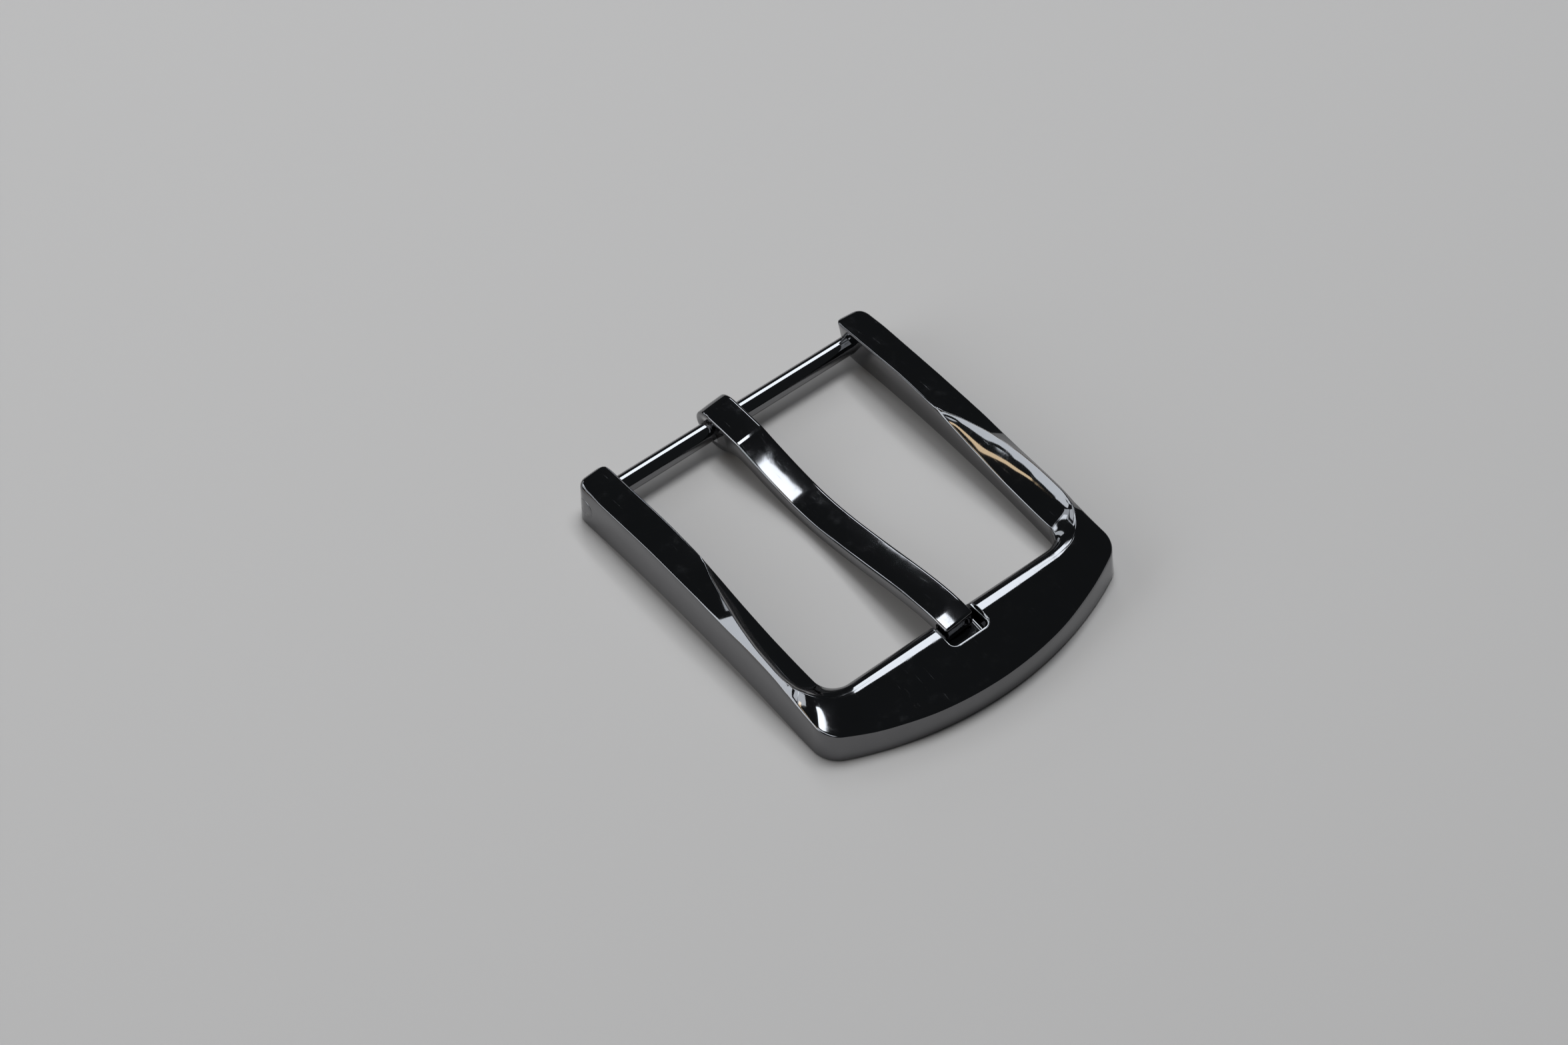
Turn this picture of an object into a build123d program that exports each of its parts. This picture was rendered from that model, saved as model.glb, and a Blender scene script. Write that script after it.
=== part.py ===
"""Prong buckle for a 40 mm dress belt: a cast frame, a pressed heel bar and a swinging prong.

Axes: X along the heel bar, +Y towards the heel, +Z up. The buckle lies on Z = 0.
Lengths are millimetres. The sections are laid out from the heel's rear face (Y = 0) and
everything is moved at the end, so that the origin is under the middle of the buckle.
"""
from build123d import *
import math
import os

os.makedirs("parts", exist_ok=True)

# Driving dimensions of the frame
OUTER_WIDTH = 50.0          # for a 40 mm strap between the arms
LENGTH = 59.0
ARM_EDGE_X = 19.85          # inner top edge of an arm
WINDOW_FOOT_X = (21.5, 20.65)   # the arms' inner walls splay out below, more so at the heel
WINDOW_HEAD_X = 18.8
BAR_EDGE_Y = -47.2          # inner edge of the front bar
INNER_CORNER_R = 3.1
OUTER_CORNER_R = 4.0
FRONT_ARC_R = 52.0          # the front bar bows forwards
HEEL_CORNER_R = 1.2
ARCH_RISE = 1.1             # the underside lifts between heel and front bar
ARCH_ENDS = (-2.5, -48.0)
HEEL_TOP_Z, HEEL_TOP_R, HEEL_FOOT_R = 7.0, 1.3, 1.0
HEEL_TOP_ENDS = (-3, -5)    # where the heel's level top meets the arms' own
SCOOP_MIDDLE, SCOOP_SAG = 0.45, 0.1     # the hollow between inner edge and ridge, as shares
DOME_MIDDLE, DOME_CROWN = 0.55, 0.06    # the crown of the facet outside the ridge
RIDGE_START = 20.5          # where the ridge leaves the arm's inner edge
PLAIN_STEPS, SCOOP_STEPS, CORNER_STEPS, FRONT_STEPS = 7, 11, 5, 4    # slices of the cover
COVER_FLOOR_Z = -1.0
COVER_REACH = 1.25          # the cover runs past the walls, which trim it
TOP_LIMIT = 12.0
CUT_MARGIN = 1.0            # cuts run this far past the faces that they open

# Driving dimensions of the heel bar and the prong
BAR_R = 1.45
BAR_Y, BAR_Z = -1.75, 3.35
BAR_END_CHAMFER = 0.2
EYE_HALF_HEIGHT = 3.05
EYE_BACK = 3.3
EYE_CLEARANCE = 0.06
EYE_X = -1.35               # the loose eye sits a little off centre on the bar
PRONG_WIDTH = 4.6
PRONG_CHAMFER = 0.3
PRONG_ROLL = -6             # degrees; its left side lies a little lower
PRONG_TOP = [(-1.75, 6.4), (-4.5, 6.28), (-7.6, 6.02), (-12.5, 4.58), (-21, 3.15), (-29, 3.9),
             (-36, 5.3), (-43, 6.6), (-47, 6.8), (-49.8, 6.45)]
PRONG_UNDERSIDE = [(-49.8, 3.82), (-47, 4.0), (-43, 3.85), (-36, 2.75), (-29, 1.4), (-21, 0.6),
                   (-12, 1.7), (-7, 2.85), (-3.4, 2.9)]

# Driving dimensions of the rest notch
NOTCH_WIDTH = 6.1
NOTCH_FRONT_Y = -51.85
NOTCH_FLOOR_Z = 3.5
NOTCH_CORNER_R = 0.8
NOTCH_OPEN = 3.0            # the cut starts this far back, in the open window

# Heights along the half frame, as (distance from the heel, value); the distance runs down
# the arm's inner edge, round the inner corner and along the front bar to its middle.
INNER_EDGE_Z = [(0, 6.95), (7, 7.4), (14, 7.8), (19, 7.65), (24, 6.9), (30, 5.8), (37, 4.9),
                (44, 4.55), (50, 4.6), (66, 4.7)]
OUTER_EDGE_Z = [(0, 6.6), (8, 7.0), (18, 7.3), (28, 7.1), (37, 6.7), (44.1, 6.25), (45.7, 5.7),
                (47.2, 4.85), (49, 4.2), (66, 4.15)]
RIDGE_Z = [(0, 6.95), (7, 7.4), (14, 7.8), (20.5, 7.65), (25, 8.0), (29.5, 8.2), (34, 8.0), (38, 7.7),
           (42, 7.4), (45, 6.7), (47, 6.25), (49, 6.1), (66, 6.05)]
RIDGE_ACROSS = [(0, 0.06), (20.5, 0.06), (25, 0.29), (29.5, 0.51), (34, 0.69), (38, 0.78), (42, 0.82),
                (45, 0.62), (47, 0.3), (49, 0.14), (66, 0.12)]

ARM_END_Y = BAR_EDGE_Y + INNER_CORNER_R
CORNER_X = ARM_EDGE_X - INNER_CORNER_R
CORNER_LENGTH = INNER_CORNER_R * math.pi / 2
HALF_WIDTH = OUTER_WIDTH / 2
FRONT_CENTRE_Y = FRONT_ARC_R - LENGTH
LAYOUT_SHIFT = Pos(0, (LENGTH - BAR_Y - EYE_BACK) / 2, 0)


def value_along(knots, distance):
    """A smooth curve through the knots that never overshoots them."""
    slopes = [(b[1] - a[1]) / (b[0] - a[0]) for a, b in zip(knots, knots[1:])]
    tangents = [slopes[0]]
    for before, after in zip(slopes, slopes[1:]):
        turns = before * after <= 0
        tangents.append(0 if turns else 2 * before * after / (before + after))
    tangents.append(slopes[-1])
    i = max(k for k in range(len(slopes)) if knots[k][0] <= distance or k == 0)
    (start, low), (end, high) = knots[i], knots[i + 1]
    span = end - start
    t = (distance - start) / span
    return (low * (1 + 2 * t) * (1 - t) ** 2 + high * t * t * (3 - 2 * t)
            + span * (tangents[i] * t * (1 - t) ** 2 - tangents[i + 1] * t * t * (1 - t)))


def front_y(x):
    return FRONT_CENTRE_Y - math.sqrt(FRONT_ARC_R ** 2 - x * x)


def reach_along(ray):
    """Distance from the inner corner's centre to the outer wall, along a ray."""
    near, far = 0.0, OUTER_WIDTH
    for _ in range(40):
        middle = (near + far) / 2
        x, y = CORNER_X + middle * ray[0], ARM_END_Y + middle * ray[1]
        if x < HALF_WIDTH and y > front_y(x):
            near = middle
        else:
            far = middle
    return near


def station(distance):
    """The inner edge point at a distance, and the outer wall point straight across from it."""
    if distance <= -ARM_END_Y:
        return (ARM_EDGE_X, -distance), (HALF_WIDTH, -distance)
    turned = (distance + ARM_END_Y) / INNER_CORNER_R
    if turned < math.pi / 2:
        ray = (math.cos(turned), -math.sin(turned))
        return tuple((CORNER_X + r * ray[0], ARM_END_Y + r * ray[1])
                     for r in (INNER_CORNER_R, reach_along(ray)))
    x = CORNER_X - (distance + ARM_END_Y - CORNER_LENGTH)
    return (x, BAR_EDGE_Y), (x, front_y(x))


def top_section(distance, side):
    """A slice of the cover across the frame: floor, inner edge, scoop, ridge, dome and outer edge."""
    (inner_x, inner_y), (outer_x, outer_y) = station(distance)
    inner_z = value_along(INNER_EDGE_Z, distance)
    outer_z = value_along(OUTER_EDGE_Z, distance)
    ridge_z = value_along(RIDGE_Z, distance)
    ridge = value_along(RIDGE_ACROSS, distance)
    scoop = SCOOP_MIDDLE * ridge
    scoop_z = inner_z + (SCOOP_MIDDLE - SCOOP_SAG) * (ridge_z - inner_z)
    dome = ridge + DOME_MIDDLE * (1 - ridge)
    dome_z = ridge_z + DOME_MIDDLE * (outer_z - ridge_z) + DOME_CROWN
    slope = (outer_z - dome_z) / (1 - dome)
    rim_z = outer_z + (COVER_REACH - 1) * slope
    profile = [(1 - COVER_REACH, COVER_FLOOR_Z), (1 - COVER_REACH, inner_z), (0, inner_z), (scoop, scoop_z),
               (ridge, ridge_z), (dome, dome_z), (COVER_REACH, rim_z), (COVER_REACH, COVER_FLOOR_Z)]
    points = [(side * (inner_x + t * (outer_x - inner_x)), inner_y + t * (outer_y - inner_y), z)
              for t, z in profile]
    return make_face(Polyline(points, close=True))


def make_cover():
    """The solid under the frame's sculpted top, one ruled loft all the way round the U."""
    reaches = [(0, RIDGE_START, PLAIN_STEPS), (RIDGE_START, -ARM_END_Y, SCOOP_STEPS),
               (-ARM_END_Y, CORNER_LENGTH - ARM_END_Y, CORNER_STEPS),
               (CORNER_LENGTH - ARM_END_Y, CORNER_LENGTH - ARM_END_Y + CORNER_X, FRONT_STEPS)]
    half = [start + (end - start) * i / steps for start, end, steps in reaches for i in range(steps)]
    half.append(reaches[-1][1])
    sections = [top_section(d, -1) for d in half] + [top_section(d, 1) for d in reversed(half[:-1])]
    return loft(sections, ruled=True)


def make_outline():
    """The frame's plan, standing up: straight sides, tight heel corners, bowed front."""
    corner_x = HALF_WIDTH - OUTER_CORNER_R
    corner_y = FRONT_CENTRE_Y - math.sqrt((FRONT_ARC_R - OUTER_CORNER_R) ** 2 - corner_x ** 2)
    tangent_x = corner_x * FRONT_ARC_R / (FRONT_ARC_R - OUTER_CORNER_R)
    tangent_y = front_y(tangent_x)
    lean = math.degrees(math.acos(corner_x / (FRONT_ARC_R - OUTER_CORNER_R)))
    with BuildPart() as plate:
        with BuildSketch():
            with BuildLine():
                Polyline((-HALF_WIDTH, corner_y), (-HALF_WIDTH, 0), (HALF_WIDTH, 0), (HALF_WIDTH, corner_y))
                CenterArc((corner_x, corner_y), OUTER_CORNER_R, 0, -lean)
                CenterArc((-corner_x, corner_y), OUTER_CORNER_R, 180, lean)
                ThreePointArc((-tangent_x, tangent_y), (0, -LENGTH), (tangent_x, tangent_y))
            make_face()
        extrude(amount=TOP_LIMIT)
        fillet(plate.edges().filter_by(Axis.Z).group_by(Axis.Y)[-1], HEEL_CORNER_R)
    return plate.part


def make_side_profile():
    """The frame seen from the side: arched underside and rounded heel."""
    start, end = ARCH_ENDS
    beyond = -LENGTH - CUT_MARGIN
    with BuildPart() as slab:
        with BuildSketch(Plane.YZ):
            with BuildLine():
                Polyline((beyond, 0), (beyond, TOP_LIMIT), (HEEL_TOP_ENDS[1], TOP_LIMIT),
                         (HEEL_TOP_ENDS[0], HEEL_TOP_Z), (-HEEL_TOP_R, HEEL_TOP_Z))
                CenterArc((-HEEL_TOP_R, HEEL_TOP_Z - HEEL_TOP_R), HEEL_TOP_R, 90, -90)
                Line((0, HEEL_TOP_Z - HEEL_TOP_R), (0, HEEL_FOOT_R))
                CenterArc((-HEEL_FOOT_R, HEEL_FOOT_R), HEEL_FOOT_R, 0, -90)
                Line((-HEEL_FOOT_R, 0), (start, 0))
                ThreePointArc((start, 0), ((start + end) / 2, ARCH_RISE), (end, 0))
                Line((end, 0), (beyond, 0))
            make_face()
        extrude(amount=HALF_WIDTH + CUT_MARGIN, both=True)
    return slab.part


def make_window():
    """The opening between the arms, wider below than above."""
    faces = []
    levels = ((COVER_FLOOR_Z, *WINDOW_FOOT_X), (TOP_LIMIT, WINDOW_HEAD_X, WINDOW_HEAD_X))
    for level, heel_x, front_x in levels:
        corners = [(-front_x, BAR_EDGE_Y), (front_x, BAR_EDGE_Y), (heel_x, CUT_MARGIN),
                   (-heel_x, CUT_MARGIN)]
        sketch = make_face(Polyline(corners, close=True))
        sketch = fillet(sketch.vertices().group_by(Axis.Y)[0], INNER_CORNER_R)
        faces.append(Pos(0, 0, level) * sketch)
    return loft(faces)


def make_frame():
    notch_depth = BAR_EDGE_Y - NOTCH_FRONT_Y + NOTCH_OPEN
    notch_sketch = Pos(0, NOTCH_FRONT_Y + notch_depth / 2) * RectangleRounded(NOTCH_WIDTH, notch_depth,
                                                                              NOTCH_CORNER_R)
    notch = Pos(0, 0, NOTCH_FLOOR_Z) * extrude(notch_sketch, amount=TOP_LIMIT)
    bore = Pos(0, BAR_Y, BAR_Z) * Rot(0, 90, 0) * Cylinder(BAR_R, OUTER_WIDTH + 2 * CUT_MARGIN)
    return make_cover() & make_outline() & make_side_profile() - make_window() - notch - bore


def make_heel_bar():
    bar = Pos(0, BAR_Y, BAR_Z) * Rot(0, 90, 0) * Cylinder(BAR_R, OUTER_WIDTH)
    return chamfer(bar.edges().filter_by(GeomType.CIRCLE), BAR_END_CHAMFER)


def make_prong():
    """One tongue: an eye round the heel bar, an S-curved shank and a square tip."""
    with BuildPart() as tongue:
        with BuildSketch(Plane.YZ):
            with BuildLine():
                Spline(*PRONG_TOP)
                Line(PRONG_TOP[-1], PRONG_UNDERSIDE[0])
                Spline(*PRONG_UNDERSIDE)
                Line(PRONG_UNDERSIDE[-1], PRONG_TOP[0])
            make_face()
            with Locations((BAR_Y, BAR_Z)):
                Ellipse(EYE_BACK, EYE_HALF_HEIGHT)
        extrude(amount=PRONG_WIDTH / 2, both=True)
        chamfer(tongue.faces().filter_by(Axis.X).edges(), PRONG_CHAMFER)
    yaw = math.degrees(math.atan2(-EYE_X, BAR_Y - PRONG_TOP[-1][0]))
    turned = Rot(0, 0, yaw) * Rot(0, PRONG_ROLL, 0) * Pos(0, -BAR_Y, -BAR_Z) * tongue.part
    placed = Pos(EYE_X, BAR_Y, BAR_Z) * turned
    return placed - Pos(0, BAR_Y, BAR_Z) * Rot(0, 90, 0) * Cylinder(BAR_R + EYE_CLEARANCE, OUTER_WIDTH)


for name, piece in (("frame", make_frame()), ("heel_bar", make_heel_bar()), ("prong", make_prong())):
    export_step(LAYOUT_SHIFT * piece, f"parts/{name}.step")
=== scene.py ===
"""Looks of the prong buckle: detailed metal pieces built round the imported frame, floor, light and camera.

Layout lengths are millimetres from the middle of the heel's rear face: x along the heel bar,
y towards the heel (so the buckle runs to negative y) and z up. place() turns them into the frame's metres.
"""

import math

import bmesh
import bpy
import numpy as np
from mathutils import Matrix, Vector


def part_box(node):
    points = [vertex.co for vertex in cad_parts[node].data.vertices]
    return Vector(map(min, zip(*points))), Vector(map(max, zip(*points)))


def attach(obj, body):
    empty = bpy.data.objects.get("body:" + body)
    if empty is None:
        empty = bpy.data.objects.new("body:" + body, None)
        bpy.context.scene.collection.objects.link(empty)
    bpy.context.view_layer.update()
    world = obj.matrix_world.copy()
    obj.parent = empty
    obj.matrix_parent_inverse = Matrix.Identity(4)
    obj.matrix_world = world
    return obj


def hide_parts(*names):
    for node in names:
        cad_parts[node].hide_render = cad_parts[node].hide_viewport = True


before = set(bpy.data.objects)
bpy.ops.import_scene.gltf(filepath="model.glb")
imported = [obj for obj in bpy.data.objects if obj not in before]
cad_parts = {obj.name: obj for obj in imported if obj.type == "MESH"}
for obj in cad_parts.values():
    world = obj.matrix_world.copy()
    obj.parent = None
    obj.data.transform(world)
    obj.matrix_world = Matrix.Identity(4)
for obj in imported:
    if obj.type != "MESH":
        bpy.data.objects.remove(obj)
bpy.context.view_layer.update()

MM = 0.001
FRAME_LOW, FRAME_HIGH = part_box("frame")
BAR_LOW, BAR_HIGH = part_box("heel_bar")
HEEL = Vector((0, FRAME_HIGH.y, 0))
HALF_WIDTH = FRAME_HIGH.x / MM
LENGTH = (FRAME_HIGH.y - FRAME_LOW.y) / MM
BAR_Y = ((BAR_LOW.y + BAR_HIGH.y) / 2 - HEEL.y) / MM
BAR_Z = (BAR_LOW.z + BAR_HIGH.z) / 2 / MM
BAR_R = (BAR_HIGH.z - BAR_LOW.z) / 2 / MM

# Frame plan
ARM_EDGE_X = 19.85
BAR_EDGE_Y = -47.2
INNER_CORNER_R = 3.1
OUTER_CORNER_R = 4.0
FRONT_ARC_R = 52.0
ARM_END_Y = BAR_EDGE_Y + INNER_CORNER_R
CORNER_X = ARM_EDGE_X - INNER_CORNER_R
CORNER_LENGTH = INNER_CORNER_R * math.pi / 2
BAR_START = CORNER_LENGTH - ARM_END_Y
HALF_PATH = BAR_START + CORNER_X
FRONT_CENTRE_Y = FRONT_ARC_R - LENGTH

# Heights, leans and roundings of the section, as (distance from the heel along the inner edge, value)
INNER_EDGE_Z = [(0, 6.95), (7, 7.4), (14, 7.8), (19, 7.65), (24, 6.9), (30, 5.8), (37, 4.9),
                (44, 4.55), (50, 4.6), (66, 4.7)]
OUTER_EDGE_Z = [(0, 6.6), (8, 7.0), (18, 7.35), (25, 7.3), (29, 7.05), (33, 6.8), (37, 6.68), (41, 6.48),
                (44.1, 5.9), (45.7, 5.3), (47.2, 4.75), (49, 4.2), (66, 4.15)]
# How far the top of the outer wall leans in
OUTER_LEAN = [(0, 0.3), (20, 0.5), (41, 0.5), (49, 0.4), (56, 0.15), (66, 0.1)]
RIDGE_Z = [(0, 6.95), (7, 7.4), (14, 7.8), (20.5, 7.65), (25, 7.95), (29.5, 8.1), (34, 7.8), (38, 7.4),
           (42, 7.0), (44.1, 6.75), (45.3, 6.5), (47, 6.05), (49, 5.78), (66, 5.73)]
# How far the ridge lies from the inner edge
RIDGE_IN = [(0, 0), (20, 0), (25, 1.5), (29.5, 2.7), (34, 3.55), (38, 3.95), (42, 4.05),
            (44.1, 3.75), (45.3, 3.1), (47, 2.5), (49, 2.1), (66, 2.1)]
RIDGE_SOFTNESS = [(0, 0.05), (22, 0.1), (30, 0.15), (43, 0.2), (46, 0.3), (49, 0.05), (66, 0.05)]
# 0 where the ridge is a crease, 1 where it is a broad crest
CREST = [(0, 0), (43.5, 0), (48.5, 1), (66, 1)]
EDGE_ROUND = [(0, 0.8), (2, 0.6), (5, 0.3), (40, 0.2), (44, 0.25), (49, 0.4), (66, 0.4)]
# How far the inner wall's foot is set back under the inner edge
WALL_LEAN = [(0, 1.3), (25, 1.0), (44, 0.6), (49, 0.15), (66, 0.15)]


def along(knots, distance):
    """Smooth curve through the knots that never overshoots them, for arrays of distances."""
    x, y = np.array(knots, float).T
    span = np.diff(x)
    slope = np.diff(y) / span
    tangent = np.concatenate(([slope[0]], np.zeros(len(x) - 2), [slope[-1]]))
    same = slope[:-1] * slope[1:] > 0
    tangent[1:-1][same] = (2 * slope[:-1] * slope[1:])[same] / (slope[:-1] + slope[1:])[same]
    distance = np.clip(distance, x[0], x[-1])
    i = np.clip(np.searchsorted(x, distance, side="right") - 1, 0, len(span) - 1)
    t = (distance - x[i]) / span[i]
    return (y[i] * (1 + 2 * t) * (1 - t) ** 2 + y[i + 1] * t * t * (3 - 2 * t)
            + span[i] * (tangent[i] * t * (1 - t) ** 2 - tangent[i + 1] * t * t * (1 - t)))


def place(x, y, z):
    """A layout point in the frame's metres."""
    return Vector((x * MM, y * MM, z * MM)) + HEEL


def front_y(x):
    """The bowed front edge."""
    return FRONT_CENTRE_Y - np.sqrt(FRONT_ARC_R ** 2 - np.square(x))


def softmin(a, b, k):
    """The lower of two heights, blended where they are within k of each other."""
    blend = np.maximum(k - np.abs(a - b), 0) / k
    return np.minimum(a, b) - blend * blend * k / 4


# ---------------------------------------------------------------- frame casting

NOTCH_HALF, NOTCH_FRONT_Y, NOTCH_FLOOR_Z, NOTCH_CORNER_R = 3.05, -51.85, 3.35, 0.8
NOTCH_FLOOR_RISE = -0.1     # the floor falls a little towards the front
NOTCH_WALL_RUN, NOTCH_WALL_SLOPE, NOTCH_LIP, NOTCH_RIM = 0.25, 8.0, 0.5, 0.25
NOTCH_FLOOR_BLEND, NOTCH_EDGE_BLEND = 1.2, 0.02
HEEL_ROUND = {"top": 1.3, "foot": 1.1, "outer": 2.3, "inner": 1.2}
HEEL_PAST = 0.8             # how far the heel's rounded ends stand behind y = 0
FOOT_ROUND = 0.3
INNER_EDGE_ROUND = 0.22
ARCH_START, ARCH_END, ARCH_RISE = -2.5, -48.0, 1.1
SCOOP_STEEP = 1.5           # the scoop's slope at the ridge, reached over its last SCOOP_RUN
SCOOP_RUN, SCOOP_RUN_SHARE = 0.8, 0.35
CREST_POWER, CREST_REACH = 2.3, 1.0     # how the crest rolls off inwards, and how far outwards
DOME_CROWN = 0.006          # of the facet's width
LEAST_RIDGE_IN = 0.02
MIRROR = np.array((-1, 1, 1))
TINY = 1e-6                 # keeps a division by the crest's reach finite on the arms
REACH_HALVINGS = 40

# Mesh lines and sections: dense ones follow the notch's front wall and its sides
NOTCH_LINE = 0.32           # the dense lines' place away from the notch, as a share from ridge to outer edge
FINE_STEP, FINE_REACH, FINE_SHARE = 0.05, 0.45, 0.8
LEAST_LINE_IN = 0.4
INNER_LINES, MIDDLE_LINES, OUTER_LINES = 16, 18, 22
CROWDING, OUTER_CROWDING = 1.6, 1.2
FOOT_STEPS, WALL_STEPS, INNER_STEPS, OUTER_STEPS, UNDER_STEPS = 5, 8, 6, 7, 10
HEEL_SECTIONS, ARM_SECTIONS, CORNER_SECTIONS, BAR_SECTIONS, MIDDLE_SECTIONS = 14, 120, 60, 25, 6
NOTCH_SIDE_OUT, NOTCH_SIDE_IN, NOTCH_SIDE_SECTIONS = 0.5, 0.95, 28


def underside_z(y):
    """The underside is arched lengthwise between the heel and the front bar."""
    t = np.clip((y - ARCH_START) / (ARCH_END - ARCH_START), 0, 1)
    return ARCH_RISE * 4 * t * (1 - t)


def inside_plan(x, y):
    """Whether a point of the right half lies within the frame's outer outline."""
    corner_x = HALF_WIDTH - OUTER_CORNER_R
    reach = FRONT_ARC_R - OUTER_CORNER_R
    corner_y = FRONT_CENTRE_Y - math.sqrt(reach ** 2 - corner_x ** 2)
    past_x, past_y = x - corner_x, corner_y - y
    if past_x > 0 and past_y > 0 and past_y * corner_x < past_x * (FRONT_CENTRE_Y - corner_y):
        return math.hypot(past_x, past_y) < OUTER_CORNER_R
    return x < HALF_WIDTH and y > front_y(min(x, HALF_WIDTH))


def reach_along(ray):
    """Distance from the inner corner's centre to the outer outline, along a ray."""
    near, far = 0.0, LENGTH
    for _ in range(REACH_HALVINGS):
        middle = (near + far) / 2
        if inside_plan(CORNER_X + middle * ray[0], ARM_END_Y + middle * ray[1]):
            near = middle
        else:
            far = middle
    return near


def crossing(distance):
    """Where the section at a distance starts on the inner edge, its direction and its width."""
    if distance <= -ARM_END_Y:
        return np.array((ARM_EDGE_X, -distance)), np.array((1.0, 0.0)), HALF_WIDTH - ARM_EDGE_X
    turned = (distance + ARM_END_Y) / INNER_CORNER_R
    if turned < math.pi / 2:
        ray = np.array((math.cos(turned), -math.sin(turned)))
        start = np.array((CORNER_X, ARM_END_Y)) + INNER_CORNER_R * ray
        return start, ray, reach_along(ray) - INNER_CORNER_R
    x = max(HALF_PATH - distance, 0.0)
    return np.array((x, BAR_EDGE_Y)), np.array((0.0, -1.0)), BAR_EDGE_Y - front_y(x)


def notch_z(x, y, rim_z):
    """Height of the rest notch's floor, steep walls and narrow level rim; very high outside them."""
    out_x = np.abs(x) - (NOTCH_HALF - NOTCH_CORNER_R)
    out_y = (NOTCH_FRONT_Y + NOTCH_CORNER_R) - y
    outside = (np.hypot(np.maximum(out_x, 0), np.maximum(out_y, 0))
               + np.minimum(np.maximum(out_x, out_y), 0) - NOTCH_CORNER_R)
    wall = (outside + NOTCH_WALL_RUN) * NOTCH_WALL_SLOPE
    level = NOTCH_FLOOR_Z + NOTCH_FLOOR_RISE * (NOTCH_FRONT_Y - y)
    floor = level - softmin(-wall, 0 * wall, NOTCH_FLOOR_BLEND)
    rim = rim_z + np.maximum(outside - NOTCH_RIM, 0) * NOTCH_WALL_SLOPE
    return softmin(floor, rim, NOTCH_LIP)


def top_z(distance, start, ray, width, d):
    """Height of the sculpted top at d millimetres from the inner edge."""
    inner_z, outer_z, ridge_z, ridge_d, crest = (
        float(along(k, distance)) for k in (INNER_EDGE_Z, OUTER_EDGE_Z, RIDGE_Z, RIDGE_IN, CREST))
    ridge_d = max(ridge_d, LEAST_RIDGE_IN)
    bend = CREST_REACH * crest + TINY
    beyond = d - ridge_d
    past = np.where(beyond > bend, beyond - bend / 2, np.where(beyond > 0, beyond ** 2 / (2 * bend), beyond))
    out = past / (width - ridge_d - bend / 2)
    crown = DOME_CROWN * (width - ridge_d) * 4 * out * (1 - np.maximum(out, 0))
    facet = ridge_z + (outer_z - ridge_z) * out + crown * np.minimum(beyond > 0, 1)
    run = min(SCOOP_RUN, SCOOP_RUN_SHARE * ridge_d)
    steep = run * (np.exp(np.minimum(beyond, 0) / run) - math.exp(-ridge_d / run))
    whole = run * (1 - math.exp(-ridge_d / run))
    slope = (ridge_z - inner_z - SCOOP_STEEP * whole) / (ridge_d - whole)
    hollow = slope * np.minimum(d, ridge_d) + (SCOOP_STEEP - slope) * steep
    rolled = (ridge_z - inner_z) * (1 - (1 - np.clip(d / ridge_d, 0, 1)) ** CREST_POWER)
    scoop = inner_z + hollow + (rolled - hollow) * crest + np.maximum(beyond, 0) * SCOOP_STEEP
    z = softmin(facet, scoop, float(along(RIDGE_SOFTNESS, distance)))
    x, y = start[0] + ray[0] * d, start[1] + ray[1] * d
    rim_out = (BAR_EDGE_Y - NOTCH_FRONT_Y + NOTCH_RIM - ridge_d) / (width - ridge_d)
    return softmin(z, notch_z(x, y, ridge_z + (outer_z - ridge_z) * rim_out), NOTCH_EDGE_BLEND)


def half_distances():
    """Section places from the heel to the middle of the front bar, dense where the shape turns."""
    heel_depth = max(HEEL_ROUND.values())
    heel = heel_depth * (1 - np.cos(evenly(0, math.pi / 2, HEEL_SECTIONS))) - HEEL_PAST
    arm = evenly(heel_depth - HEEL_PAST, -ARM_END_Y, ARM_SECTIONS)
    corner = evenly(-ARM_END_Y, BAR_START, CORNER_SECTIONS)
    side_x = NOTCH_HALF + NOTCH_SIDE_OUT
    bar = HALF_PATH - evenly(CORNER_X, side_x, BAR_SECTIONS)
    notch_side = HALF_PATH - side_x + FINE_STEP * np.arange(NOTCH_SIDE_SECTIONS)
    middle = HALF_PATH - np.linspace(NOTCH_HALF - NOTCH_SIDE_IN, 0, MIDDLE_SECTIONS + 1)
    return np.concatenate((heel, arm, corner, bar, notch_side, middle))


def evenly(first, end, count):
    """Evenly spaced values from the first up to the end, which is left to the next stretch."""
    return np.linspace(first, end, count + 1)[:-1]


def eased(count, power):
    """Shares from 0 to 1 that crowd towards both ends."""
    t = np.linspace(-1, 1, count)
    return (1 + np.sign(t) * (1 - (1 - np.abs(t)) ** power)) / 2


def rounding(before, corner, after, steps):
    """Points of a rounded corner: a parabola that touches both sides."""
    t = np.linspace(0, 1, steps)[:, None]
    return (1 - t) ** 2 * np.array(before) + 2 * t * (1 - t) * np.array(corner) + t * t * np.array(after)


def straight(a, b, steps):
    """Points between two others, which are left out."""
    t = np.linspace(0, 1, steps + 1)[1:-1, None]
    return (1 - t) * np.array(a) + t * np.array(b)


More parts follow.
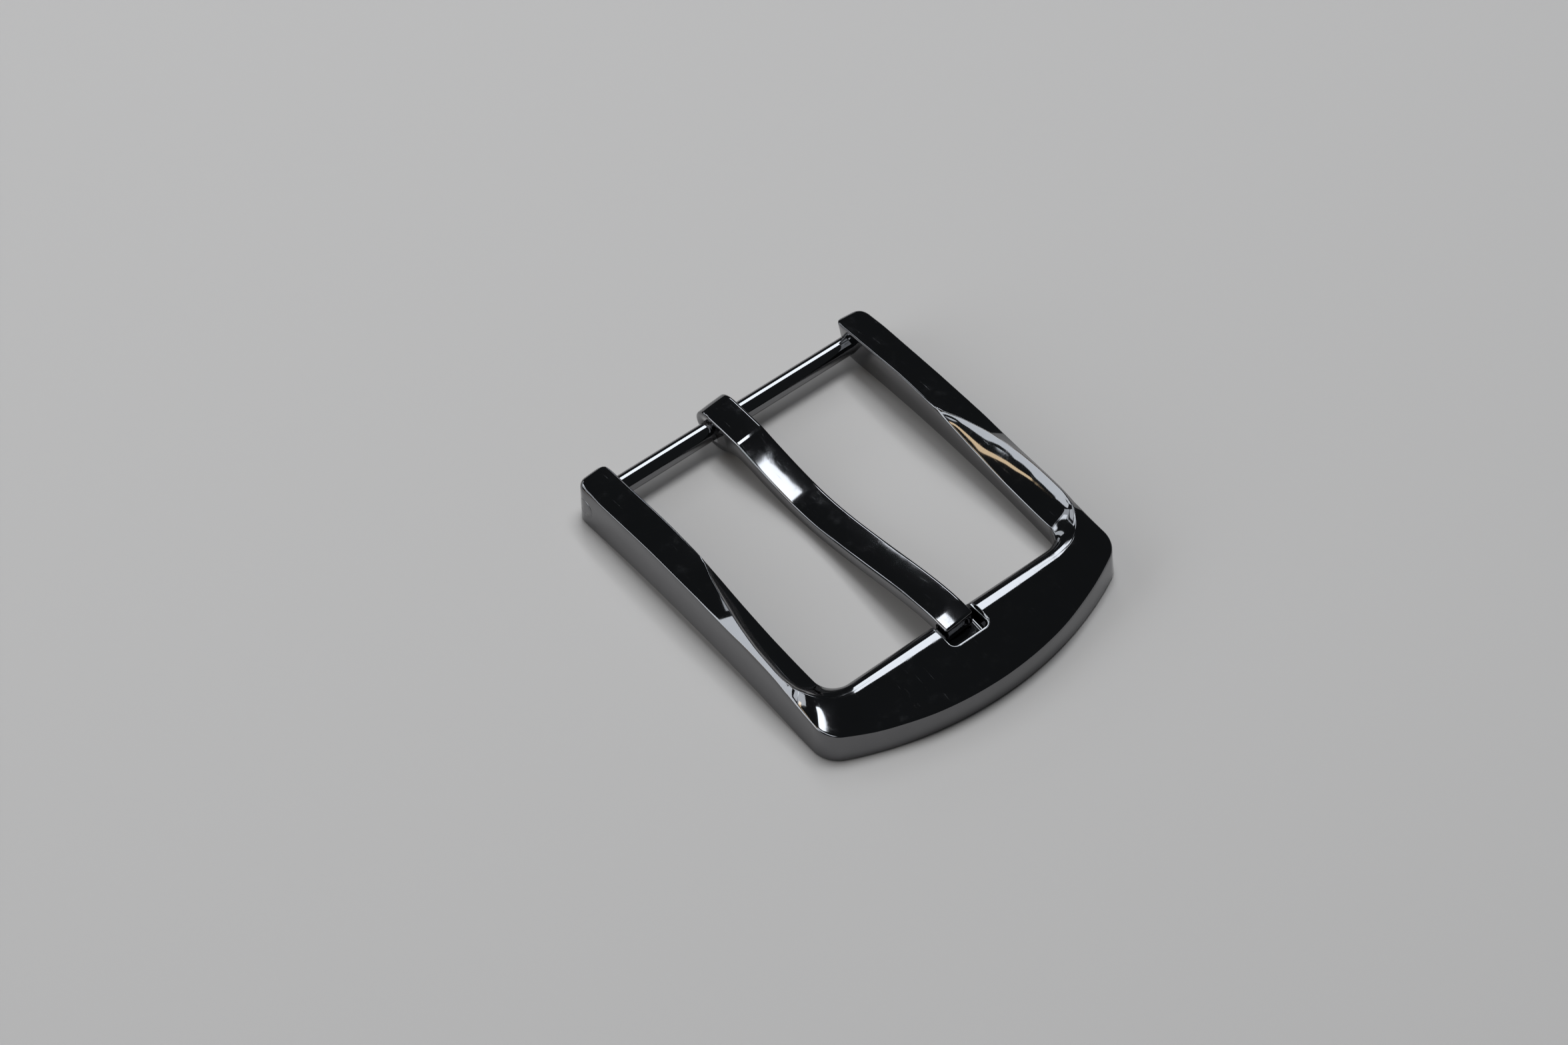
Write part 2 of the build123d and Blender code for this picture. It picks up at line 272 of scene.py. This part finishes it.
def section(distance):
    """One closed ring of the frame's points: inner wall, sculpted top, outer wall and underside."""
    start, ray, width = crossing(distance)
    top_width = width - float(along(OUTER_LEAN, distance))
    ridge_d = max(float(along(RIDGE_IN, distance)), LEAST_LINE_IN)
    plain = ridge_d + NOTCH_LINE * (top_width - ridge_d)
    exact = BAR_EDGE_Y - NOTCH_FRONT_Y
    share = np.clip((HALF_PATH - distance - 2 * NOTCH_HALF) / (CORNER_X - 2 * NOTCH_HALF), 0, 1)
    notch_d = plain if distance < BAR_START else exact + (plain - exact) * share
    edge = float(along(EDGE_ROUND, distance))
    room = min(1, FINE_SHARE * (notch_d - ridge_d) / FINE_REACH)
    fine = np.arange(-FINE_REACH, FINE_REACH + FINE_STEP / 2, FINE_STEP) * room
    first, last = notch_d + fine[0], notch_d + fine[-1]
    lines = np.concatenate((
        INNER_EDGE_ROUND + (ridge_d - INNER_EDGE_ROUND) * eased(INNER_LINES, CROWDING),
        (ridge_d + (first - ridge_d) * eased(MIDDLE_LINES, CROWDING))[1:-1],
        notch_d + fine,
        (last + (top_width - edge - last) * eased(OUTER_LINES, OUTER_CROWDING))[1:]))
    inner_z, *heights, outer_z = top_z(distance, start, ray, top_width, np.hstack((0, lines, top_width)))
    foot = float(along(WALL_LEAN, distance))
    floor = float(underside_z(start[1]))
    foot_out = float(underside_z((start + ray * width)[1]))
    lean = foot / (inner_z - floor)
    outer_lean = (width - top_width) / (outer_z - foot_out)

    def inside(z):
        return foot - (z - floor) * lean, z

    def outside(z):
        return width - (z - foot_out) * outer_lean, z

    inner_foot, outer_foot = inside(floor + FOOT_ROUND), outside(foot_out + FOOT_ROUND)
    inner_edge, outer_edge = inside(inner_z - INNER_EDGE_ROUND), outside(outer_z - edge)
    under_in, under_out = (foot + FOOT_ROUND, floor), (width - FOOT_ROUND, foot_out)
    ring = np.vstack((
        rounding(under_in, (foot, floor), inner_foot, FOOT_STEPS),
        straight(inner_foot, inner_edge, WALL_STEPS),
        rounding(inner_edge, (0, inner_z), (lines[0], heights[0]), INNER_STEPS)[:-1],
        np.column_stack((lines, heights)),
        rounding((lines[-1], heights[-1]), outside(outer_z), outer_edge, OUTER_STEPS)[1:],
        straight(outer_edge, outer_foot, WALL_STEPS),
        rounding(outer_foot, (width, foot_out), under_out, FOOT_STEPS),
        straight(under_out, under_in, UNDER_STEPS)))
    depth = distance + HEEL_PAST
    if depth < max(HEEL_ROUND.values()):
        ring = heel_rounded(ring, depth, foot, width, floor, max(inner_z, outer_z))
    plan = start + ring[:, :1] * ray
    return np.column_stack((plan, ring[:, 1]))


def heel_rounded(ring, depth, low_d, high_d, low_z, high_z):
    """The ring drawn in towards the heel's rear face, as far as each side's rounding needs."""
    inset = {side: radius - math.sqrt(max(radius ** 2 - max(radius - depth, 0) ** 2, 0))
             for side, radius in HEEL_ROUND.items()}
    d, z = ring.T
    across = (d - low_d) / (high_d - low_d)
    up = (z - low_z) / (high_z - low_z)
    return np.column_stack((d + inset["inner"] * (1 - across) - inset["outer"] * across,
                            z + inset["foot"] * (1 - up) - inset["top"] * up))


def bridge(mesh, rings):
    """Quads between each ring of vertices and the next one."""
    for a, b in zip(rings, rings[1:]):
        for j in range(len(a)):
            k = (j + 1) % len(a)
            mesh.faces.new((a[j], a[k], b[k], b[j]))


def skin_object(name, rings):
    """A mesh of quads through equal rings of points, with the end rings capped."""
    mesh = bmesh.new()
    verts = [[mesh.verts.new(place(*p)) for p in ring] for ring in rings]
    bridge(mesh, verts)
    mesh.faces.new(verts[0][::-1])
    mesh.faces.new(verts[-1])
    return finished(name, mesh)


def finished(name, mesh):
    """A smooth-shaded object of the mesh, put in the scene."""
    bmesh.ops.recalc_face_normals(mesh, faces=mesh.faces)
    for face in mesh.faces:
        face.smooth = True
    data = bpy.data.meshes.new(name)
    mesh.to_mesh(data)
    mesh.free()
    piece = bpy.data.objects.new(name, data)
    bpy.context.scene.collection.objects.link(piece)
    return piece


def make_frame():
    """The one-piece casting: the right half's sections and their mirror images."""
    right = [section(d) for d in half_distances()]
    left = [ring * MIRROR for ring in right[:-1]]
    return skin_object("buckle_frame", left + right[::-1])


# ---------------------------------------------------------------- prong and heel bar

PRONG_WIDTH = 4.6
PRONG_EDGE = 0.33
PRONG_CROWN = 0.03
PRONG_COLUMNS = (-0.97, -0.6, -0.2, 0.2, 0.6, 0.97)     # mesh lines, as shares of the flat's half width
RIM_STEPS, TIP_STEPS = 5, 6
# The eye sits a little left of the heel bar's middle, and the tip in the middle of the notch
EYE_X, EYE_BACK, EYE_HALF_HEIGHT, EYE_CLEARANCE = -1.35, 3.3, 3.05, 0.06
EYE_STEPS, BORE_STEPS, BORE_RINGS = 26, 48, 8
TIP_Y = -49.8
TIP_CORNER = 0.35
OUTLINE_STEP = 0.35
PRONG_ROLL = math.radians(-6)

# The closed prong from the side, as (y, z)
PRONG_TOP_BACK = [(-1.75, 6.4), (-4.5, 6.28), (-7.6, 6.02)]
PRONG_TOP = [(-7.6, 6.02), (-9.5, 5.42), (-12.5, 4.58), (-15.6, 3.85), (-21, 3.15), (-29, 3.9), (-36, 5.3),
             (-43, 6.6), (-47, 6.8), (-49.8, 6.45)]
PRONG_UNDERSIDE = [(-49.8, 3.82), (-47, 4.0), (-43, 3.85), (-36, 2.75), (-29, 1.4), (-21, 0.6), (-12, 1.7),
                   (-8.2, 2.55), (-5.8, 2.2), (-4.2, 0.95), (-1.75, 0.3)]


def smooth_path(points):
    """Evenly spaced points on a natural cubic spline through the given ones."""
    points = np.array(points, float)
    chord = np.concatenate(([0], np.cumsum(np.hypot(*np.diff(points, axis=0).T))))
    at = np.linspace(0, chord[-1], int(chord[-1] / OUTLINE_STEP) + 2)
    return np.column_stack([natural_spline(chord, column, at) for column in points.T])


def natural_spline(x, y, at):
    """Values of the natural cubic spline through (x, y)."""
    n = len(x)
    h = np.diff(x)
    matrix, right = np.eye(n), np.zeros(n)
    for i in range(1, n - 1):
        matrix[i, i - 1:i + 2] = h[i - 1], 2 * (h[i - 1] + h[i]), h[i]
        right[i] = 6 * ((y[i + 1] - y[i]) / h[i] - (y[i] - y[i - 1]) / h[i - 1])
    bend = np.linalg.solve(matrix, right)
    at = np.clip(at, x[0], x[-1])
    i = np.clip(np.searchsorted(x, at, side="right") - 1, 0, n - 2)
    a, b = (x[i + 1] - at) / h[i], (at - x[i]) / h[i]
    return (a * y[i] + b * y[i + 1]
            + ((a ** 3 - a) * bend[i] + (b ** 3 - b) * bend[i + 1]) * h[i] ** 2 / 6)


def prong_outline():
    """The prong seen from the side: top, tip, underside and round the back of the eye."""
    top = np.vstack((smooth_path(PRONG_TOP_BACK)[:-1], smooth_path(PRONG_TOP)))
    underside = smooth_path(PRONG_UNDERSIDE)
    tip_top, tip_foot = top[-1], underside[0]
    nose = np.vstack((
        rounding(top[-2], tip_top, tip_top - (0, TIP_CORNER), TIP_STEPS),
        straight(tip_top - (0, TIP_CORNER), tip_foot + (0, TIP_CORNER), TIP_STEPS),
        rounding(tip_foot + (0, TIP_CORNER), tip_foot, underside[1], TIP_STEPS)))
    turn = np.linspace(-math.pi / 2, math.pi / 2, EYE_STEPS + 2)[1:-1]
    eye = np.column_stack((BAR_Y + EYE_BACK * np.cos(turn), BAR_Z + EYE_HALF_HEIGHT * np.sin(turn)))
    return np.vstack((top[:-2], nose, underside[2:], eye))


def rim_profile(half_width, edge):
    """(x, inset) pairs across an edge-rounded, slightly crowned plate from one side to the other."""
    turn = np.linspace(0, math.pi / 2, RIM_STEPS + 1)
    side = [(-half_width + edge * (1 - math.cos(t)), edge * (1 - math.sin(t)) + PRONG_CROWN) for t in turn]
    middle = [(share * (half_width - edge), PRONG_CROWN * share ** 2) for share in PRONG_COLUMNS]
    return side + middle + [(-x, inset) for x, inset in reversed(side)]


def inset_loop(loop, amount):
    """A closed loop moved towards its left side by an amount."""
    ahead = np.roll(loop, -1, axis=0) - np.roll(loop, 1, axis=0)
    normal = np.column_stack((-ahead[:, 1], ahead[:, 0])) / np.hypot(*ahead.T)[:, None]
    return loop + normal * amount


def make_prong():
    """The tongue: an edge-rounded plate along its outline, bored for the heel bar and rolled a little."""
    outline = prong_outline()
    turn = evenly(0, 2 * math.pi, BORE_STEPS)
    lie = Matrix.Rotation(math.atan2(-EYE_X, BAR_Y - TIP_Y), 3, "Z") @ Matrix.Rotation(PRONG_ROLL, 3, "Y")
    middle = Vector((EYE_X, BAR_Y, BAR_Z))
    cheek = lie @ Vector((1, 0, 0))
    mesh = bmesh.new()
    shell, bore = [], []
    for x, inset in rim_profile(PRONG_WIDTH / 2, PRONG_EDGE):
        shell.append([mesh.verts.new(place(*(lie @ Vector((x, y - BAR_Y, z - BAR_Z)) + middle)))
                      for y, z in inset_loop(outline, inset)])
    bore_r = BAR_R + EYE_CLEARANCE
    for x in np.linspace(-PRONG_WIDTH / 2, PRONG_WIDTH / 2, BORE_RINGS):
        ring = [Vector(((x - y * cheek.y - z * cheek.z) / cheek.x, y, z))
                for y, z in zip(bore_r * np.cos(turn), bore_r * np.sin(turn))]
        bore.append([mesh.verts.new(place(*(point + middle))) for point in ring])
    bridge(mesh, shell)
    bridge(mesh, bore)
    for outer, inner in ((shell[0], bore[0]), (shell[-1], bore[-1])):
        rim = [mesh.edges.get((ring[j], ring[(j + 1) % len(ring)])) for ring in (outer, inner)
               for j in range(len(ring))]
        bmesh.ops.triangle_fill(mesh, edges=rim, use_beauty=True)
    return finished("buckle_prong", mesh)


BAR_PROUD, BAR_BEVEL = 0.03, 0.05
BAR_STEPS = 64
BAR_RINGS = (0.98, 0.5)     # places between the ends and the middle, as shares of the bar's half


def make_heel_bar():
    """A round pin whose ends are dressed flush with the arms' rounded, leaning outer walls."""
    turn = evenly(0, 2 * math.pi, BAR_STEPS)
    corner = HEEL_ROUND["outer"]

    def end_x(y, z):
        past = np.maximum(corner - HEEL_PAST + y, 0)
        lean = OUTER_LEAN[0][1] * z / OUTER_EDGE_Z[0][1]
        return HALF_WIDTH - lean - corner + np.sqrt(corner ** 2 - past ** 2) + BAR_PROUD

    half = []
    ends = [(1, BAR_R - BAR_BEVEL, 0), (1, BAR_R, BAR_BEVEL)]
    for share, r, short in ends + [(share, BAR_R, 0) for share in BAR_RINGS]:
        y, z = BAR_Y + r * np.cos(turn), BAR_Z + r * np.sin(turn)
        half.append(np.column_stack((share * (end_x(y, z) - short), y, z)))
    rings = half + [ring * MIRROR for ring in half[::-1]]
    return skin_object("buckle_heel_bar", rings)


# ---------------------------------------------------------------- materials

WAVE_DEPTH, PIT_DEPTH = 1.2e-5, 5e-6


def node_of(tree, kind, **settings):
    """A new node with its plain properties and its input sockets set by name."""
    node = tree.nodes.new(kind)
    for key, value in settings.items():
        if hasattr(node, key):
            setattr(node, key, value)
        else:
            node.inputs[key.replace("_", " ").title()].default_value = value
    return node


def metal(name, colour, roughness):
    """Hand-polished plating: slow waves, soft patches of fine pits, hairlines and an uneven tint."""
    made = bpy.data.materials.new(name)
    made.use_nodes = True
    tree = made.node_tree
    link = tree.links.new
    shader = tree.nodes["Principled BSDF"]
    shader.inputs["Metallic"].default_value = 1.0
    where = node_of(tree, "ShaderNodeTexCoord").outputs["Object"]

    patches = node_of(tree, "ShaderNodeTexNoise", scale=420, detail=5, roughness=0.65)
    link(where, patches.inputs["Vector"])
    worn = node_of(tree, "ShaderNodeMapRange", from_min=0.54, from_max=0.8)
    link(patches.outputs["Fac"], worn.inputs["Value"])

    grain_turn = node_of(tree, "ShaderNodeMapping", rotation=(0, 0, 0.6), scale=(9000, 260, 900))
    link(where, grain_turn.inputs["Vector"])
    grain = node_of(tree, "ShaderNodeTexNoise", scale=1, detail=3)
    link(grain_turn.outputs["Vector"], grain.inputs["Vector"])
    hairlines = node_of(tree, "ShaderNodeMapRange", from_min=0.68, from_max=0.78, to_max=0.22)
    link(grain.outputs["Fac"], hairlines.inputs["Value"])

    haze = node_of(tree, "ShaderNodeMapRange", to_min=roughness * 0.8, to_max=roughness * 2.2)
    link(worn.outputs["Result"], haze.inputs["Value"])
    rough = node_of(tree, "ShaderNodeMath", operation="ADD")
    link(haze.outputs["Result"], rough.inputs[0])
    link(hairlines.outputs["Result"], rough.inputs[1])
    link(rough.outputs["Value"], shader.inputs["Roughness"])

    tint = node_of(tree, "ShaderNodeValToRGB")
    low, high = tint.color_ramp.elements
    low.color = (*(c * 0.94 for c in colour), 1)
    high.color = (*(c * 1.08 for c in colour), 1)
    link(patches.outputs["Fac"], tint.inputs["Fac"])
    link(tint.outputs["Color"], shader.inputs["Base Color"])

    waves = node_of(tree, "ShaderNodeTexNoise", scale=330, detail=1)
    link(where, waves.inputs["Vector"])
    pits = node_of(tree, "ShaderNodeTexNoise", scale=7000, detail=2)
    link(where, pits.inputs["Vector"])
    swell = node_of(tree, "ShaderNodeBump", distance=WAVE_DEPTH)
    link(waves.outputs["Fac"], swell.inputs["Height"])
    pitted = node_of(tree, "ShaderNodeBump", distance=PIT_DEPTH)
    link(pits.outputs["Fac"], pitted.inputs["Height"])
    link(worn.outputs["Result"], pitted.inputs["Strength"])
    link(swell.outputs["Normal"], pitted.inputs["Normal"])
    link(pitted.outputs["Normal"], shader.inputs["Normal"])
    return made


def dress(piece, body, node, material):
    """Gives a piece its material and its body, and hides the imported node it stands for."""
    piece.data.materials.append(material)
    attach(piece, body)
    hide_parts(node)


POLISH = 0.07
plating = metal("black_nickel", (0.17, 0.17, 0.175), POLISH)
bar_plating = metal("bar_nickel", (0.2, 0.2, 0.205), POLISH)
dress(make_frame(), "buckle", "frame", plating)
dress(make_heel_bar(), "buckle", "heel_bar", bar_plating)
dress(make_prong(), "tongue", "prong", plating)


# ---------------------------------------------------------------- floor, light and camera

FLOOR_HALF, FLOOR_DROP = 3, 0.00002      # metres; the drop keeps the foot's faces clear of the floor
DAYLIGHT, LAMPLIGHT, WALL_GLOW = (0.90, 0.95, 1.0), (1.0, 0.76, 0.48), (1.0, 0.68, 0.4)
LEVEL, ALONG_PRONG = Vector((1, 0, 0)), Vector((0, -0.843, 0.537))
CAMERA_PLACE = (-182.2, -253.0, 368.1)
CAMERA_AZIMUTH, CAMERA_ELEVATION, CAMERA_ROLL = -37.17, 51.36, 2.016
FOCAL_LENGTH, SENSOR_WIDTH = 80.71, 36
CLIP_START, CLIP_END = 0.01, 10
FLOOR_COLOUR, FLOOR_ROUGHNESS = (0.50, 0.475, 0.455), 0.9
ROOM_COLOUR, ROOM_STRENGTH = (0.85, 0.93, 1.0), 0.035


def make_floor():
    """A wide matt sheet under the buckle."""
    mesh = bmesh.new()
    corners = [(-FLOOR_HALF, -FLOOR_HALF), (FLOOR_HALF, -FLOOR_HALF),
               (FLOOR_HALF, FLOOR_HALF), (-FLOOR_HALF, FLOOR_HALF)]
    mesh.faces.new([mesh.verts.new((x, y, -FLOOR_DROP)) for x, y in corners])
    floor = finished("floor", mesh)
    paint = bpy.data.materials.new("floor_paint")
    paint.use_nodes = True
    shader = paint.node_tree.nodes["Principled BSDF"]
    shader.inputs["Base Color"].default_value = (*FLOOR_COLOUR, 1)
    shader.inputs["Roughness"].default_value = FLOOR_ROUGHNESS
    floor.data.materials.append(paint)


def heading(azimuth, elevation):
    """A direction from the buckle; azimuth is measured from +Y towards +X."""
    a, e = math.radians(azimuth), math.radians(elevation)
    return Vector((math.sin(a) * math.cos(e), math.cos(a) * math.cos(e), math.sin(e)))


def soft_light(name, towards, long_side, length, width, radiance, colour=DAYLIGHT):
    """A rectangular light one metre away that faces the buckle, its length along long_side."""
    across = long_side - towards * long_side.dot(towards)
    across.normalize()
    turn = Matrix((across, towards.cross(across), towards)).transposed()
    lamp = bpy.data.lights.new(name, "AREA")
    lamp.shape = "RECTANGLE"
    lamp.size, lamp.size_y = length, width
    lamp.energy, lamp.color = radiance * math.pi * length * width, colour
    holder = bpy.data.objects.new(name, lamp)
    holder.matrix_world = Matrix.Translation(towards) @ turn.to_4x4()
    bpy.context.scene.collection.objects.link(holder)
    return holder


def make_world(colour, strength):
    """The faint light that the rest of the room sends from everywhere."""
    world = bpy.data.worlds.new("room")
    world.use_nodes = True
    background = world.node_tree.nodes["Background"]
    background.inputs["Color"].default_value = (*colour, 1)
    background.inputs["Strength"].default_value = strength
    bpy.context.scene.world = world


def make_camera():
    """The viewing angle: from the front left, well above, with a slight roll."""
    azimuth, elevation, roll = (
        math.radians(angle) for angle in (CAMERA_AZIMUTH, CAMERA_ELEVATION, CAMERA_ROLL))
    back = Vector((math.sin(azimuth) * math.cos(elevation), -math.cos(azimuth) * math.cos(elevation),
                   math.sin(elevation)))
    right = Vector((math.cos(azimuth), math.sin(azimuth), 0))
    up = back.cross(right)
    rolled_right = right * math.cos(roll) - up * math.sin(roll)
    rolled_up = right * math.sin(roll) + up * math.cos(roll)
    turn = Matrix((rolled_right, rolled_up, back)).transposed().to_4x4()
    lens = bpy.data.cameras.new("camera")
    lens.lens, lens.sensor_width = FOCAL_LENGTH, SENSOR_WIDTH
    lens.clip_start, lens.clip_end = CLIP_START, CLIP_END
    camera = bpy.data.objects.new("camera", lens)
    camera.matrix_world = Matrix.Translation(place(*CAMERA_PLACE)) @ turn
    bpy.context.scene.collection.objects.link(camera)
    bpy.context.scene.camera = camera
    bpy.context.scene.view_settings.view_transform = "Standard"


make_floor()
make_world(ROOM_COLOUR, ROOM_STRENGTH)
key = soft_light("key", heading(60, 74), LEVEL, 0.42, 0.42, 11)
key.visible_glossy = False
soft_light("overhead", heading(16, 80.8), LEVEL, 0.33, 0.23, 6.5)
soft_light("back_strip", heading(34.5, 48.2), ALONG_PRONG, 0.56, 0.16, 5)
soft_light("left_window", heading(-70, 21.5), LEVEL, 0.85, 0.50, 2.7)
rear = soft_light("rear_window", heading(-118, 50), LEVEL, 0.30, 0.95, 2.4)
side = soft_light("side_window", heading(-91, 44), LEVEL, 0.18, 0.30, 2.4)
soft_light("corner_window", heading(-25, 33), LEVEL, 0.40, 0.36, 1.6)
soft_light("far_windows", heading(-14, 16.5), LEVEL, 0.62, 0.16, 2.0)
back = soft_light("back_window", heading(-15, 34), LEVEL, 0.14, 0.20, 2.2)
for window in (rear, side, back):
    window.visible_diffuse = False
soft_light("lamp", heading(-73, 54), LEVEL, 0.08, 0.20, 3.2, LAMPLIGHT)
soft_light("warm_wall", heading(-62, 3), LEVEL, 0.7, 0.07, 0.8, WALL_GLOW)
make_camera()
